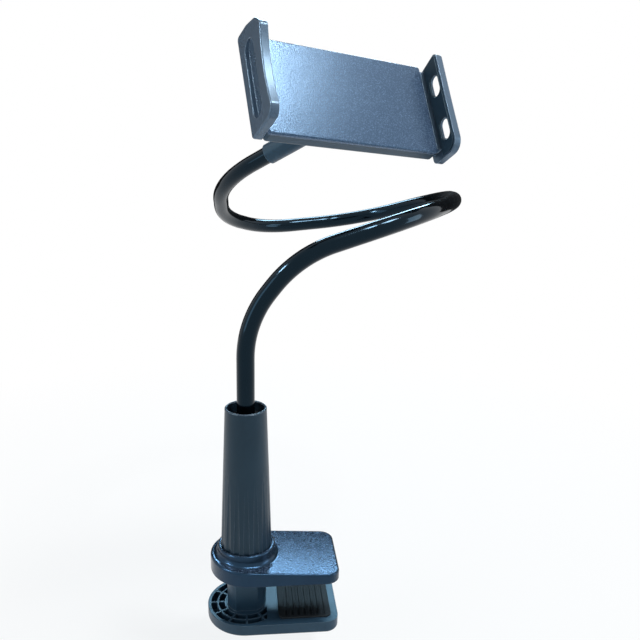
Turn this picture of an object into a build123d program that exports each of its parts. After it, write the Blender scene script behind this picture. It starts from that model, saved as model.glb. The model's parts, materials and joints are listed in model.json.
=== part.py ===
"""Phone holder on a gooseneck, with a screw clamp for a table edge. Millimetres, Z up.

The origin is the middle of the upper pad's underside, where the table's top meets the clamp.
X runs from the column into the table, and Y is the way that the photograph looks.
"""
import os
from math import atan2, degrees, radians, tan

from build123d import *

os.makedirs("parts", exist_ok=True)

# Clearances
RUN_GAP = 0.1  # between pieces that turn or slide on each other
SEAT_GAP = 0.05  # between pieces that are pressed or screwed together
GUIDE_GAP = 0.3  # loose guides in moulded plastic

# Clamp jaws, both with the same D-shaped outline
PAD_REACH = 40.0  # column's axis to the middle of the pads
PAD_LENGTH = 36.0
PAD_WIDTH = 44.0
PAD_CORNER = 4.0
PAD_THICKNESS = 2.5
PAD_PROUD = 1.0
JAW_RADIUS = 27.5
JAW_REACH = 63.0  # column's axis to the tip
UPPER_BACK = 24.8  # column's axis to the rounded back end
LOWER_BACK = 27.2
JAW_CORNER = 9.0
JAW_ROOT = 10.5  # upper jaw's thickness at the column's axis
JAW_TIP = 7.0
JAW_EDGE = 1.5
LOWER_HEIGHT = 8.5
LOWER_EDGE = 2.0
GRIP = 27.5  # between the pads, as it is set
GRIP_OPEN = 58.0

# Moulded pockets between thin ribs in the jaws' round ends
RIM_WALL = 2.2
RIB = 1.2
RIB_COUNT = 12
POCKET_END = 14.0  # pockets stop here, before the pad
POCKET_FLOOR = 2.5

# Guide stem of the lower jaw and the lead screw inside it
STEM_RADIUS = 13.5
STEM_FLATS = 22.6
STEM_BORE = 9.0
STEM_LIP = 2.0
STEM_ENGAGED = 13.0  # length still in its guide when the clamp is fully open
SCREW_RADIUS = 5.0
SCREW_HEAD = 5.0
SCREW_HEAD_RADIUS = 8.0
NUT_LENGTH = 12.0

# Collar and grip column
COLLAR_RADIUS = 19.8
COLLAR_HEIGHT = 7.5
COLLAR_FLARE = 3.2
COLLAR_ROUND = 1.2
COLLAR_DEPTH = 3.0
WASHER = 1.0
COLUMN_HEIGHT = 100.0  # above the collar
COLUMN_FOOT = 17.5
COLUMN_HEAD = 13.9
COLUMN_WALL = 1.6
COLUMN_RIM = 0.5
BULKHEAD = 6.0
FLUTES = 16
FLUTE_RADIUS = 5.0
FLUTE_DEPTH = 0.6
FLUTE_HEIGHT = 55.0
SOCKET_DEPTH = 36.0
BUSH_DROP = 7.0  # bush's top below the column's rim
BUSH_FLOOR = 2.0
PLUG_RADIUS = 8.5
PLUG_FLOOR = 3.0

# Gooseneck: corners of its route from the middle of the column's rim, ending at the ball's centre
NECK_RADIUS = 6.0
CORE_RADIUS = 4.0
NECK_CORNERS = [
    (0, 0, 58),
    (33, -1, 101),
    (111, 12, 125),
    (162, 90, 129),
    (179, 188, 124),
    (111, 252, 96),
    (18, 223, 90),
    (-19, 175, 105),
    (-19, 106, 139),
    (59, 49, 186),
]
BEND_SHARE = 0.45  # part of a run that the bend at each of its ends takes up
KNUCKLE_GAP = 0.3

# Ball joint behind the cradle
BALL_RADIUS = 8.0
BALL_GAP = 0.3
STUD_RADIUS = 3.5
STUD_FLANGE = 8.0
STUD_FLANGE_HEIGHT = 1.9
STUD_SHAFT = 4.0
STUD_WASHER = 6.5
STUD_WASHER_HEIGHT = 0.8
STUD_SCREW = 1.9
STUD_SCREW_HEAD = 4.0
STUD_SCREW_HEAD_HEIGHT = 1.7
STUD_SCREW_LENGTH = 12.0
BALL_STANDOFF = 13.5  # ball's centre behind the cradle's back
FERRULE_RADIUS = 7.3
FERRULE_LENGTH = 57.0  # from the ball's centre
FERRULE_SEAT = 26.0  # neck's end from the ball's centre
CUP_RADIUS = 10.2
CUP_RIM = 3.0  # past the ball's centre
CUP_BACK = 11.0
CUP_TAPER = 9.0
CUP_SLOT = 1.2
CUP_SLOT_DEPTH = 9.0
SEAT_RADIUS = 6.5
SEAT_BACK = 12.7
SEAT_HOLE = 2.5
LOCK_RADIUS = 11.8
LOCK_BACK = 9.5
LOCK_FRONT = 4.4
LOCK_MOUTH = 9.0
LOCK_RIBS = 18
LOCK_RIB_DEPTH = 0.5

# Cradle's pose, as it is set
CRADLE_YAW = 24.6
CRADLE_TILT = 31.3
CRADLE_ROLL = -5.7

# Cradle's shell, measured from the middle of the front plate's face
CRADLE_WIDTH = 124.0
CRADLE_HEIGHT = 67.0
CRADLE_DEPTH = 11.0
CRADLE_CORNER = 2.0
PLATE_THICKNESS = 2.5
PLATE_EDGE = 1.0
BACK_WALL = 2.5
BACK_EDGE = 2.4
SIDE_WALL = 2.2
COVER_SCREW_INSET_X = 6.0
COVER_SCREW_INSET_Y = 5.1
COVER_BOSS = 2.7
COVER_SCREW = 1.4
COVER_SCREW_HEAD = 2.6
COVER_SCREW_SINK = 1.4
COVER_SCREW_TIP = 3.4  # depth of its tip below the face

# Jaws of the cradle: corners of their outlines as height on the cradle and distance from its face
JAW_WALL = 5.5
JAW_ROUND = 1.2
FIXED_CORNERS = [(-32.0, 19.5), (27.5, 20.4), (35.0, 14.0), (39.0, 2.0), (40.3, -13.0), (-32.0, -13.0)]
FIXED_CORNER_RADII = [6.5, 4.0, 6.0, 10.0, 3.0, 3.0]
FIXED_LIP = 16.3  # lowest place of the front edge between its first two corners
SLIDING_CORNERS = [(-36.6, 14.4), (36.6, 14.4), (29.9, -11.2), (-36.6, -11.2)]
SLIDING_CORNER_RADII = [9.0, 3.0, 4.0, 4.0]
SLIDING_LIP = 14.1
SCOOP_LENGTH = 52.0
SCOOP_WIDTH = 12.8
SCOOP_HEIGHT = 2.0
SCOOP_REACH = 1.5
SCOOP_LEAN = 1.0
SCOOP_DEPTH = 1.7  # in the middle of the fixed jaw's sloping floor
SCOOP_SLOPE = 11.0
WEB = 1.6  # sliding jaw's wall under its scoop
HOLE_LENGTH = 15.5
HOLE_WIDTH = 8.8
HOLE_HEIGHTS = (13.7, -19.2)
HOLE_REACH = 7.6
LINING = 0.9  # thinner than the plate's rounded edge, so it stands clear of the flat face
LINING_EDGE = 1.5  # lining's edge inside the jaw's edge
FIXED_LINING_LENGTH = 52.0
FIXED_LINING_WIDTH = 12.6
FIXED_LINING_REACH = 6.6
FIXED_LINING_CORNER = 2.5
JAW_SCREW_INSET = 3.0  # from the guide ribs
JAW_SCREW = 1.0
JAW_SCREW_HEAD = 1.5
JAW_SCREW_HEAD_HEIGHT = 1.5
JAW_SCREW_DEPTH = 6.9
JAW_SCREW_BITE = 4.0

# Sliding jaw's tongue and its return springs
JAW_GAP = 4.0  # between the shell's end and the jaw
JAW_TRAVEL = 70.0
FOOT_INSET = 3.5  # from the shell's long edges, like the insets below
FOOT_STEP = 0.5
SLIDER_THICKNESS = 2.5
SLIDER_INSET = 14.5
TAIL_BAR = 3.0
TAIL_DEPTH = 5.0
SPRING_INSET = 11.0
SPRING_PRESSED = 36.8  # length that the full travel leaves
SPRING_RADIUS = 2.4
SPRING_BORE = 1.5
ROD_RADIUS = 1.0
GUIDE_RIB = 2.0
GUIDE_RIB_INSET = 20.5

# Heights and planes that follow
POST = Plane((-PAD_REACH, 0, 0))
POST_SIDE = Plane(POST.origin, x_dir=(1, 0, 0), z_dir=(0, -1, 0))
POST_AXIS = Axis(POST.origin, (0, 0, 1))
jaw_top = PAD_PROUD + JAW_ROOT
collar_top = jaw_top + COLLAR_HEIGHT
collar_floor = collar_top - COLLAR_DEPTH
lower_top = -GRIP - PAD_PROUD
lower_bottom = lower_top - LOWER_HEIGHT
stem_top = PAD_PROUD + STEM_ENGAGED + GRIP_OPEN - GRIP
column_bottom = collar_floor + WASHER + RUN_GAP
column_top = collar_top + COLUMN_HEIGHT
socket_floor = column_top - SOCKET_DEPTH
bulkhead_bottom = socket_floor - BULKHEAD
nut_top = stem_top - STEM_LIP
screw_end = nut_top - NUT_LENGTH - (GRIP_OPEN - GRIP)
bush_top = column_top - BUSH_DROP
bush_bottom = socket_floor + SCREW_HEAD + RUN_GAP
plug_bottom = bush_bottom + BUSH_FLOOR + RUN_GAP
socket_radius = COLUMN_HEAD - COLUMN_WALL


def column_radius(height):
    """Outer radius of the tapered column at a height above the table."""
    return COLUMN_FOOT + (COLUMN_HEAD - COLUMN_FOOT) * (height - collar_top) / COLUMN_HEIGHT


def save(piece, name):
    """Label a finished piece and write it to its own file."""
    piece.part.label = name
    export_step(piece.part, f"parts/{name}.step")


def jaw_outline(plane, back):
    """D-shaped outline of a clamp jaw, with its rounded end at a distance behind the column's axis."""
    with BuildSketch(plane) as outline:
        with Locations((JAW_RADIUS - back, 0)):
            Rectangle(JAW_REACH + back - JAW_RADIUS, 2 * JAW_RADIUS, align=(Align.MIN, Align.CENTER))
        fillet(outline.vertices().group_by(Axis.X)[-1], JAW_CORNER)
        with Locations((JAW_RADIUS - back, 0)):
            Circle(JAW_RADIUS)
    return outline.sketch


def stem_section(plane, gap):
    """Round stem with two flats that keep the lower jaw from turning."""
    with BuildSketch(plane) as section:
        Circle(STEM_RADIUS + gap)
        Rectangle(2 * STEM_RADIUS + 2 * gap, STEM_FLATS + 2 * gap, mode=Mode.INTERSECT)
    return section.sketch


def rib_pockets(plane, inner, outer):
    """Two rings of pockets round the stem, with straight ribs between them."""
    middle = (inner + outer) / 2
    with BuildSketch(plane) as pockets:
        Circle(outer)
        Circle(middle + RIB / 2, mode=Mode.SUBTRACT)
        Circle(middle - RIB / 2)
        Circle(inner, mode=Mode.SUBTRACT)
        with PolarLocations(0, RIB_COUNT):
            Rectangle(outer, RIB, align=(Align.MIN, Align.CENTER), mode=Mode.SUBTRACT)
        with Locations((POCKET_END, 0)):
            Rectangle(outer, 2 * outer, align=(Align.MIN, Align.CENTER), mode=Mode.SUBTRACT)
    return pockets.sketch


def pad_shape(height):
    """Outline of a jaw's pad, on a level plane above the origin."""
    with BuildSketch(Plane.XY.offset(height)) as shape:
        RectangleRounded(PAD_LENGTH, PAD_WIDTH, PAD_CORNER)
    return shape.sketch


# Upper jaw: a tongue that thins towards its tip, and a collar for the column
with BuildPart() as upper_jaw:
    jaw_slope = (JAW_ROOT - JAW_TIP) / JAW_REACH
    jaw_end = JAW_ROOT + jaw_slope * JAW_RADIUS
    extrude(jaw_outline(POST.offset(PAD_PROUD), UPPER_BACK), amount=jaw_end)
    with BuildSketch(POST_SIDE.offset(-JAW_RADIUS)):
        with BuildLine():
            Polyline(
                (-JAW_RADIUS, PAD_PROUD + jaw_end),
                (JAW_REACH, PAD_PROUD + JAW_TIP),
                (JAW_REACH, PAD_PROUD + jaw_end),
                close=True,
            )
        make_face()
    extrude(amount=2 * JAW_RADIUS, mode=Mode.SUBTRACT)
    fillet(upper_jaw.faces().filter_by(GeomType.PLANE).sort_by(Axis.Z)[-1].edges(), JAW_EDGE)
    fillet(upper_jaw.faces().sort_by(Axis.Z)[0].edges(), JAW_EDGE / 2)
    tongue_edges = upper_jaw.edges()
    with BuildSketch(POST.offset(PAD_PROUD + JAW_TIP)):
        Circle(COLLAR_RADIUS)
    extrude(amount=collar_top - PAD_PROUD - JAW_TIP)
    collar_foot = [
        edge
        for edge in upper_jaw.edges().filter_by_position(Axis.Z, jaw_top - JAW_TIP, jaw_top + JAW_TIP)
        if edge not in tongue_edges and edge.geom_type != GeomType.LINE
    ]
    fillet(collar_foot, COLLAR_FLARE)
    fillet(upper_jaw.edges().group_by(Axis.Z)[-1], COLLAR_ROUND)
    with BuildSketch(POST.offset(collar_top)):
        Circle(column_radius(column_bottom) + GUIDE_GAP)
    extrude(amount=-COLLAR_DEPTH, mode=Mode.SUBTRACT)
    extrude(stem_section(POST.offset(PAD_PROUD), GUIDE_GAP), amount=collar_top, mode=Mode.SUBTRACT)
    guide_wall = STEM_RADIUS + GUIDE_GAP + RIM_WALL
    upper_pockets = rib_pockets(POST.offset(PAD_PROUD), guide_wall, UPPER_BACK - RIM_WALL)
    extrude(upper_pockets, amount=JAW_ROOT - POCKET_FLOOR, mode=Mode.SUBTRACT)
    extrude(pad_shape(PAD_PROUD), amount=PAD_THICKNESS - PAD_PROUD, mode=Mode.SUBTRACT)
save(upper_jaw, "upper_jaw")

with BuildPart() as upper_jaw_pad:
    extrude(pad_shape(0), amount=PAD_THICKNESS)
save(upper_jaw_pad, "upper_jaw_pad")

# Washer that the column turns on, in the collar's recess
with BuildPart() as thrust_washer:
    with BuildSketch(POST.offset(collar_floor)):
        Circle(column_radius(column_bottom))
        Circle(STEM_RADIUS + 2 * GUIDE_GAP, mode=Mode.SUBTRACT)
    extrude(amount=WASHER)
save(thrust_washer, "thrust_washer")

# Lower jaw: one moulding with the hollow stem that runs up into the column
with BuildPart() as lower_jaw:
    extrude(jaw_outline(POST.offset(lower_bottom), LOWER_BACK), amount=LOWER_HEIGHT)
    fillet(lower_jaw.faces().sort_by(Axis.Z)[0].edges(), LOWER_EDGE)
    lower_pockets = rib_pockets(POST.offset(lower_top), STEM_RADIUS + RIM_WALL, LOWER_BACK - RIM_WALL)
    extrude(lower_pockets, amount=POCKET_FLOOR - LOWER_HEIGHT, mode=Mode.SUBTRACT)
    extrude(stem_section(POST.offset(lower_top), 0), amount=stem_top - lower_top)
    with BuildSketch(POST.offset(lower_bottom + POCKET_FLOOR)):
        Circle(STEM_BORE)
    extrude(amount=nut_top - lower_bottom - POCKET_FLOOR, mode=Mode.SUBTRACT)
    with BuildSketch(POST.offset(nut_top)):
        Circle(SCREW_RADIUS + 2 * GUIDE_GAP)
    extrude(amount=STEM_LIP, mode=Mode.SUBTRACT)
    extrude(pad_shape(lower_top), amount=PAD_PROUD - PAD_THICKNESS, mode=Mode.SUBTRACT)
save(lower_jaw, "lower_jaw")

with BuildPart() as lower_jaw_pad:
    extrude(pad_shape(-GRIP), amount=-PAD_THICKNESS)
save(lower_jaw_pad, "lower_jaw_pad")

# Nut held under the stem's lip
with BuildPart() as lead_nut:
    with BuildSketch(POST.offset(nut_top)):
        Circle(STEM_BORE - SEAT_GAP)
        Circle(SCREW_RADIUS + RUN_GAP, mode=Mode.SUBTRACT)
    extrude(amount=-NUT_LENGTH)
save(lead_nut, "lead_nut")

# Tapered column with flutes that run out half way up
with BuildPart() as column:
    with BuildSketch(POST_SIDE):
        with BuildLine():
            Polyline(
                (column_radius(column_bottom), column_bottom),
                (COLUMN_HEAD, column_top),
                (socket_radius, column_top),
                (socket_radius, socket_floor),
                (SCREW_RADIUS + SEAT_GAP, socket_floor),
                (SCREW_RADIUS + SEAT_GAP, bulkhead_bottom),
                (column_radius(bulkhead_bottom) - COLUMN_WALL, bulkhead_bottom),
                (column_radius(column_bottom) - COLUMN_WALL, column_bottom),
                close=True,
            )
        make_face()
    revolve(axis=POST_AXIS)
    chamfer(column.edges().group_by(Axis.Z)[-1], COLUMN_RIM)
    flute_middle = collar_top + FLUTE_HEIGHT / 2
    flute_lean = (COLUMN_FOOT - COLUMN_HEAD) / COLUMN_HEIGHT - FLUTE_DEPTH / FLUTE_HEIGHT
    with Locations(POST.offset(flute_middle)):
        with PolarLocations(column_radius(flute_middle) + FLUTE_RADIUS - FLUTE_DEPTH / 2, FLUTES):
            Cylinder(
                FLUTE_RADIUS,
                2 * FLUTE_HEIGHT,
                rotation=(0, -degrees(atan2(flute_lean, 1)), 0),
                mode=Mode.SUBTRACT,
            )
save(column, "column")

with BuildPart() as lead_screw:
    with BuildSketch(POST.offset(screw_end)):
        Circle(SCREW_RADIUS)
    extrude(amount=socket_floor - screw_end)
    chamfer(lead_screw.edges().group_by(Axis.Z)[0], SCREW_RADIUS / 5)
    with BuildSketch(POST.offset(socket_floor)):
        RegularPolygon(SCREW_HEAD_RADIUS, 6)
    extrude(amount=SCREW_HEAD)
save(lead_screw, "lead_screw")

with BuildPart() as socket_bush:
    with BuildSketch(POST.offset(bush_bottom)):
        Circle(socket_radius - SEAT_GAP)
    extrude(amount=bush_top - bush_bottom)
    with BuildSketch(POST.offset(bush_top)):
        Circle(PLUG_RADIUS + RUN_GAP)
    extrude(amount=bush_bottom + BUSH_FLOOR - bush_top, mode=Mode.SUBTRACT)
save(socket_bush, "socket_bush")

# Plug on the neck's foot, which swivels in the bush
with BuildPart() as neck_plug:
    with BuildSketch(POST.offset(plug_bottom)):
        Circle(PLUG_RADIUS)
    extrude(amount=bush_top - plug_bottom)
    with BuildSketch(POST.offset(bush_top)):
        Circle(CORE_RADIUS + SEAT_GAP)
    extrude(amount=plug_bottom + PLUG_FLOOR - bush_top, mode=Mode.SUBTRACT)
save(neck_plug, "neck_plug")

# Gooseneck: a soft alloy rod in a sleeve, along straight runs joined by tangent bends
neck_foot = POST.origin + Vector(0, 0, bush_top)
rim_middle = POST.origin + Vector(0, 0, column_top)
route = [neck_foot] + [rim_middle + Vector(*corner) for corner in NECK_CORNERS]
ball_centre = route[-1]
neck_heading = (route[-1] - route[-2]).normalized()
neck_end = ball_centre - neck_heading * FERRULE_SEAT


def bend_start(corner):
    """Distance from a corner of the route to the ends of its bend."""
    run_in = route[corner] - route[corner - 1]
    run_out = route[corner + 1] - route[corner]
    return BEND_SHARE * min(run_in.length, run_out.length)


def bend_radius(corner):
    """Radius of the bend at a corner of the route."""
    turn = (route[corner] - route[corner - 1]).get_angle(route[corner + 1] - route[corner])
    return bend_start(corner) / tan(radians(turn / 2))


def bending_place(run):
    """Middle of the straight that the bends leave on a run of the route."""
    along = route[run + 1] - route[run]
    first = bend_start(run) if run else 0
    last = along.length - bend_start(run + 1)
    return route[run] + along.normalized() * (first + last) / 2


def neck_length(points, radii, outer, inner, cupped, domed):
    """One length of the rod or sleeve, with a ball-shaped end that turns in the next one's cup."""
    with BuildPart() as length:
        with BuildLine() as path:
            if radii:
                FilletPolyline(points, radius=radii)
            else:
                Line(points[0], points[-1])
        for edge in path.edges():
            with BuildSketch(Plane(edge @ 0, z_dir=edge % 0)):
                Circle(outer)
                if inner:
                    Circle(inner, mode=Mode.SUBTRACT)
            if edge.geom_type == GeomType.CIRCLE:
                turn_axis = Axis(edge.arc_center, (edge % 0).cross(edge % 1))
                revolve(axis=turn_axis, revolution_arc=degrees(edge.length / edge.radius))
            else:
                extrude(amount=edge.length)
        if cupped:
            with Locations(Plane(points[0], z_dir=points[1] - points[0])):
                Sphere(NECK_RADIUS + KNUCKLE_GAP, mode=Mode.SUBTRACT)
        if domed:
            end = Plane(points[-1], z_dir=points[-1] - points[-2])
            with BuildSketch(Plane(end.origin, x_dir=end.x_dir, z_dir=-end.y_dir)):
                Circle(NECK_RADIUS)
                with Locations((inner, 0)):
                    Rectangle(
                        outer - inner, NECK_RADIUS, align=(Align.MIN, Align.MIN), mode=Mode.INTERSECT
                    )
            revolve(axis=Axis(end.origin, end.z_dir))
    return length


# Runs 1, 4, 7 and 9 have no bending place in their straight middle
bend_runs = [run for run in range(len(route) - 1) if run not in (1, 4, 7, 9)]
bends = [bending_place(run) for run in bend_runs]
length_ends = [neck_foot] + bends + [neck_end]
length_runs = [0, *bend_runs, len(route) - 2]
for number in range(1, len(length_ends)):
    corners = range(length_runs[number - 1] + 1, length_runs[number] + 1)
    start = length_ends[number - 1]
    points = [start] + [route[corner] for corner in corners] + [length_ends[number]]
    radii = [bend_radius(corner) for corner in corners]
    is_first = number == 1
    is_last = number == len(length_ends) - 1
    save(
        neck_length(points, radii, NECK_RADIUS, CORE_RADIUS + RUN_GAP, not is_first, not is_last),
        f"neck_sleeve_{number}",
    )
    if is_first:
        points[0] = POST.origin + Vector(0, 0, plug_bottom + PLUG_FLOOR)
    save(
        neck_length(points, radii, CORE_RADIUS, 0, not is_first, not is_last),
        f"neck_core_{number}",
    )

# Cradle's plane: origin in the middle of the front face, X along its width, Z out of its face
CRADLE = Plane(
    Location(ball_centre)
    * Location((0, 0, 0), (0, 0, CRADLE_YAW))
    * Plane.XZ.location
    * Location((0, 0, 0), (-CRADLE_TILT, 0, 0))
    * Location((0, 0, 0), (0, 0, CRADLE_ROLL))
    * Location((0, 0, BALL_STANDOFF + CRADLE_DEPTH))
)
STUD_SIDE = Plane(ball_centre, x_dir=CRADLE.x_dir, z_dir=-CRADLE.y_dir)
STUD_AXIS = Axis(ball_centre, CRADLE.z_dir)
tilt_axis = neck_heading.cross(CRADLE.z_dir).normalized()
NECK_END_PLANE = Plane(ball_centre, x_dir=tilt_axis, z_dir=neck_heading)
NECK_END_SIDE = Plane(ball_centre, x_dir=tilt_axis, z_dir=-NECK_END_PLANE.y_dir)
NECK_END_AXIS = Axis(ball_centre, neck_heading)

# Ferrule on the neck's end, opening into a slotted cup for the ball
with BuildPart() as ball_socket:
    with BuildSketch(NECK_END_SIDE):
        with BuildLine():
            Polyline(
                (NECK_RADIUS + SEAT_GAP, -FERRULE_LENGTH),
                (FERRULE_RADIUS, -FERRULE_LENGTH),
                (FERRULE_RADIUS, -CUP_BACK - CUP_TAPER),
                (CUP_RADIUS, -CUP_BACK),
                (CUP_RADIUS, CUP_RIM),
                (0, CUP_RIM),
                (0, -FERRULE_SEAT),
                (NECK_RADIUS + SEAT_GAP, -FERRULE_SEAT),
                close=True,
            )
        make_face()
    revolve(axis=NECK_END_AXIS)
    with Locations(ball_centre):
        Sphere(BALL_RADIUS + BALL_GAP, mode=Mode.SUBTRACT)
    with BuildSketch(NECK_END_PLANE.offset(-SEAT_BACK - RUN_GAP)):
        Circle(SEAT_RADIUS + RUN_GAP)
    extrude(amount=SEAT_BACK, mode=Mode.SUBTRACT)
    with BuildSketch(NECK_END_PLANE.offset(CUP_RIM)):
        with PolarLocations(0, 2):
            Rectangle(2 * CUP_RADIUS, CUP_SLOT)
        Rectangle(CUP_SLOT, 2 * CUP_RADIUS)
    extrude(amount=-CUP_SLOT_DEPTH, mode=Mode.SUBTRACT)
save(ball_socket, "ball_socket")

# Friction seat that the ball bears on
with BuildPart() as ball_seat:
    with BuildSketch(NECK_END_PLANE.offset(-SEAT_BACK)):
        Circle(SEAT_RADIUS)
        Circle(SEAT_HOLE, mode=Mode.SUBTRACT)
    extrude(amount=SEAT_BACK)
    with Locations(ball_centre):
        Sphere(BALL_RADIUS + RUN_GAP, mode=Mode.SUBTRACT)
save(ball_seat, "ball_seat")

# Ribbed nut that draws the cup's fingers onto the ball
with BuildPart() as lock_nut:
    with BuildSketch(NECK_END_SIDE):
        with BuildLine():
            Polyline(
                (CUP_RADIUS + RUN_GAP, -LOCK_BACK),
                (LOCK_RADIUS, -LOCK_BACK),
                (LOCK_RADIUS, LOCK_FRONT),
                (LOCK_MOUTH, LOCK_FRONT),
                (LOCK_MOUTH, CUP_RIM + RUN_GAP),
                (CUP_RADIUS + RUN_GAP, CUP_RIM + RUN_GAP),
                close=True,
            )
        make_face()
    revolve(axis=NECK_END_AXIS)
    with BuildSketch(NECK_END_PLANE.offset(-LOCK_BACK)):
        with PolarLocations(LOCK_RADIUS, LOCK_RIBS):
            Circle(LOCK_RIB_DEPTH)
    extrude(amount=LOCK_BACK + LOCK_FRONT, mode=Mode.SUBTRACT)
save(lock_nut, "lock_nut")

# Ball and the stud that the cradle turns on
shaft_end = BALL_STANDOFF + BACK_WALL + RUN_GAP
with BuildPart() as ball_stud:
    with BuildSketch(STUD_SIDE):
        flange_top = BALL_STANDOFF - RUN_GAP
        with BuildLine():
            Polyline(
                (0, 0),
                (STUD_RADIUS, 0),
                (STUD_RADIUS, flange_top - STUD_FLANGE_HEIGHT),
                (STUD_FLANGE, flange_top - STUD_FLANGE_HEIGHT),
                (STUD_FLANGE, flange_top),
                (STUD_SHAFT, flange_top),
                (STUD_SHAFT, shaft_end),
                (0, shaft_end),
                close=True,
            )
        make_face()
    revolve(axis=STUD_AXIS)
    with Locations(ball_centre):
        Sphere(BALL_RADIUS)
    with BuildSketch(CRADLE.offset(shaft_end - BALL_STANDOFF - CRADLE_DEPTH)):
        Circle(STUD_SCREW + SEAT_GAP)
    extrude(amount=-STUD_SCREW_LENGTH, mode=Mode.SUBTRACT)
save(ball_stud, "ball_stud")

washer_bottom = CRADLE.offset(shaft_end - BALL_STANDOFF - CRADLE_DEPTH)
with BuildPart() as stud_washer:
    with BuildSketch(washer_bottom):
        Circle(STUD_WASHER)
        Circle(STUD_SCREW + SEAT_GAP, mode=Mode.SUBTRACT)
    extrude(amount=STUD_WASHER_HEIGHT)
save(stud_washer, "stud_washer")

with BuildPart() as stud_screw:
    with BuildSketch(washer_bottom.offset(STUD_WASHER_HEIGHT)):
        Circle(STUD_SCREW_HEAD)
    extrude(amount=STUD_SCREW_HEAD_HEIGHT)
    with BuildSketch(washer_bottom.offset(STUD_WASHER_HEIGHT)):
        Circle(STUD_SCREW)
    extrude(amount=SEAT_GAP - STUD_WASHER_HEIGHT - STUD_SCREW_LENGTH)
save(stud_screw, "stud_screw")

# Places inside the cradle's shell
half_width = CRADLE_WIDTH / 2
cavity_floor = BACK_WALL - CRADLE_DEPTH
slider_top = -PLATE_THICKNESS - GUIDE_GAP
slider_bottom = slider_top - SLIDER_THICKNESS
spring_depth = -PLATE_THICKNESS - (CRADLE_DEPTH - PLATE_THICKNESS - BACK_WALL) / 2
end_wall = half_width - SIDE_WALL
tail_end = end_wall - SPRING_PRESSED - JAW_TRAVEL
slider_tail = TAIL_BAR - tail_end
foot_width = CRADLE_HEIGHT - 2 * FOOT_INSET
slider_width = CRADLE_HEIGHT - 2 * SLIDER_INSET
spring_spacing = CRADLE_HEIGHT - 2 * SPRING_INSET
guide_rib_spacing = CRADLE_HEIGHT - 2 * GUIDE_RIB_INSET
jaw_screw_spacing = guide_rib_spacing - 2 * JAW_SCREW_INSET
SPRING_PLANE = Plane(
    CRADLE.from_local_coords((0, 0, spring_depth)), x_dir=CRADLE.y_dir, z_dir=CRADLE.x_dir
)


def cover_screw_places():
    """Corners of the shell where screws hold the front plate."""
    return GridLocations(
        CRADLE_WIDTH - 2 * COVER_SCREW_INSET_X, CRADLE_HEIGHT - 2 * COVER_SCREW_INSET_Y, 2, 2
    )


# Back shell: a tray with a slit in its right end for the sliding jaw's tongue
with BuildPart() as back_shell:
    with BuildSketch(CRADLE.offset(-CRADLE_DEPTH)):
        RectangleRounded(CRADLE_WIDTH, CRADLE_HEIGHT, CRADLE_CORNER)
    extrude(amount=CRADLE_DEPTH - PLATE_THICKNESS)
    back_face = back_shell.faces().sort_by(Axis(CRADLE.origin, CRADLE.z_dir))[0]
    long_edges = back_face.edges().filter_by(Axis(CRADLE.origin, CRADLE.x_dir))
    fillet(long_edges, BACK_EDGE)
    with BuildSketch(CRADLE.offset(cavity_floor)):
        Rectangle(CRADLE_WIDTH - 2 * SIDE_WALL, CRADLE_HEIGHT - 2 * SIDE_WALL)
    extrude(amount=CRADLE_DEPTH, mode=Mode.SUBTRACT)
    with BuildSketch(CRADLE.offset(cavity_floor)):
        with GridLocations(0, guide_rib_spacing, 1, 2):
            Rectangle(CRADLE_WIDTH - SIDE_WALL, GUIDE_RIB)
    extrude(amount=slider_bottom - GUIDE_GAP - cavity_floor)
    with BuildSketch(CRADLE.offset(slider_bottom - GUIDE_GAP)):
        with Locations((half_width, 0)):
            Rectangle(3 * SIDE_WALL, slider_width + 2 * GUIDE_GAP)
    extrude(amount=CRADLE_DEPTH, mode=Mode.SUBTRACT)
    with BuildSketch(SPRING_PLANE.offset(SIDE_WALL / 2 - half_width)):
        with GridLocations(spring_spacing, 0, 2, 1):
            Circle(ROD_RADIUS + SEAT_GAP)
    extrude(amount=CRADLE_WIDTH, mode=Mode.SUBTRACT)
    with BuildSketch(CRADLE.offset(-CRADLE_DEPTH)):
        Circle(STUD_SHAFT + RUN_GAP)
        with cover_screw_places():
            Circle(COVER_SCREW + SEAT_GAP)
    extrude(amount=BACK_WALL, mode=Mode.SUBTRACT)
    with BuildSketch(CRADLE.offset(-CRADLE_DEPTH)):
        with cover_screw_places():
            Circle(COVER_SCREW_HEAD + SEAT_GAP)
    extrude(amount=COVER_SCREW_SINK, mode=Mode.SUBTRACT)
    with BuildSketch(SPRING_PLANE.offset(-half_width)):
        with Locations((0, -JAW_SCREW_DEPTH - spring_depth)):
            with GridLocations(jaw_screw_spacing, 0, 2, 1):
                Circle(JAW_SCREW + SEAT_GAP)
    extrude(amount=SIDE_WALL, mode=Mode.SUBTRACT)
save(back_shell, "back_shell")

# Front plate with screw bosses on its back
with BuildPart() as front_plate:
    with BuildSketch(CRADLE):
        RectangleRounded(CRADLE_WIDTH, CRADLE_HEIGHT, CRADLE_CORNER)
    extrude(amount=-PLATE_THICKNESS)
    fillet(front_plate.faces().sort_by(Axis(CRADLE.origin, CRADLE.z_dir))[-1].edges(), PLATE_EDGE)
    with BuildSketch(CRADLE.offset(-PLATE_THICKNESS)):
        with cover_screw_places():
            Circle(COVER_BOSS)
    extrude(amount=cavity_floor + PLATE_THICKNESS + SEAT_GAP)
    with BuildSketch(CRADLE.offset(-COVER_SCREW_TIP + SEAT_GAP)):
        with cover_screw_places():
            Circle(COVER_SCREW + SEAT_GAP)
    extrude(amount=-CRADLE_DEPTH, mode=Mode.SUBTRACT)
save(front_plate, "front_plate")

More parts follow.
